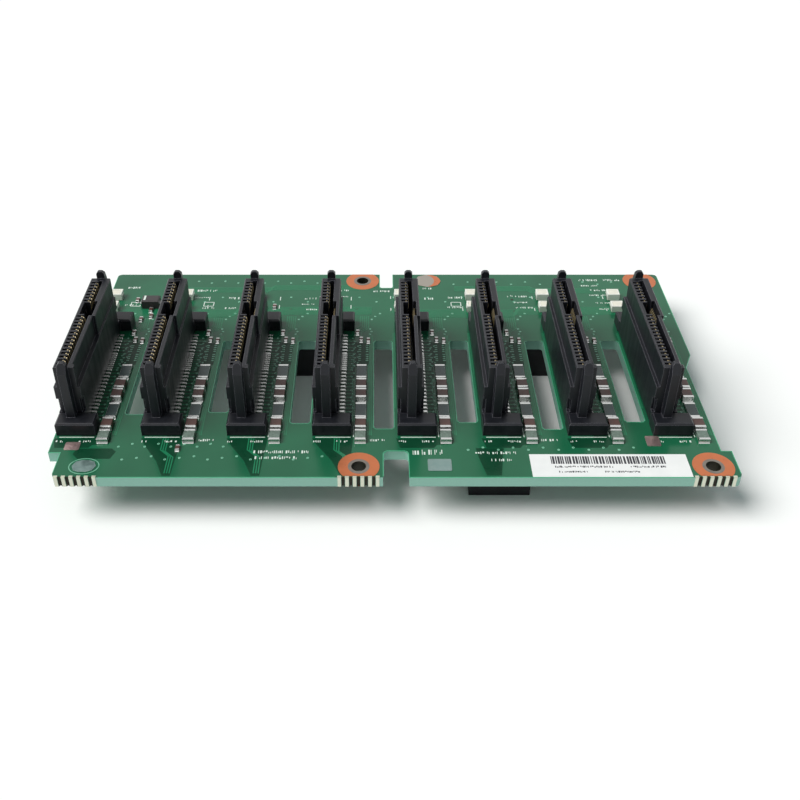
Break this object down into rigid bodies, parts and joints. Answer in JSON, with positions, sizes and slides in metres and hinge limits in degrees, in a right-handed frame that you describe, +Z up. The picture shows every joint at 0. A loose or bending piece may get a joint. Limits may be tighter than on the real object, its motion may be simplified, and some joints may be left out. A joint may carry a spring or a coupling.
{
  "type": "drive backplane board",
  "caption": "Green circuit board with a row of upright drive receptacles, vent slots between them, status lamps behind and cable sockets underneath.",
  "frame": {"origin": "centre of the board's outline, at the bottom of the connectors that it stands on", "axes": "+X along the row of receptacles, +Y from the edge with the label to the edge with the status lamps, +Z up out of the receptacles"},
  "size_m": [0.1402, 0.0783, 0.0269],
  "materials": {
    "board": "satin green solder mask over glass-fibre laminate",
    "copper": "bare copper foil",
    "tin": "tinned",
    "housing": "black moulded glass-filled nylon",
    "contact": "gold-flashed contact strip with tinned tail",
    "resistor": "glazed",
    "capacitor": "fired ceramic",
    "filter": "fired ceramic",
    "lamp": "white moulding",
    "semiconductor": "black epoxy",
    "label": "white printed label"
  },
  "bodies": {
    "root": {"cable_connector_a": "housing", "cable_connector_b": "housing", "capacitor_bodies": "capacitor", "capacitor_ends": "tin", "circuit_board": "board", "copper_rings": "copper", "diode_leads": "tin", "drive_connector_1": "housing", "drive_connector_2": "housing", "drive_connector_3": "housing", "drive_connector_4": "housing", "drive_connector_5": "housing", "drive_connector_6": "housing", "drive_connector_7": "housing", "drive_connector_8": "housing", "edge_plating": "tin", "filter_bodies": "filter", "filter_ends": "tin", "led_bodies": "lamp", "paper_label": "label", "power_connector": "housing", "power_diode": "semiconductor", "power_pins": "contact", "primary_contacts_1": "contact", "primary_contacts_2": "contact", "primary_contacts_3": "contact", "primary_contacts_4": "contact", "primary_contacts_5": "contact", "primary_contacts_6": "contact", "primary_contacts_7": "contact", "primary_contacts_8": "contact", "resistor_bodies": "resistor", "resistor_ends": "tin", "secondary_contacts_1": "contact", "secondary_contacts_2": "contact", "secondary_contacts_3": "contact", "secondary_contacts_4": "contact", "secondary_contacts_5": "contact", "secondary_contacts_6": "contact", "secondary_contacts_7": "contact", "secondary_contacts_8": "contact", "tinned_pads": "tin"}
  },
  "joints": []
}
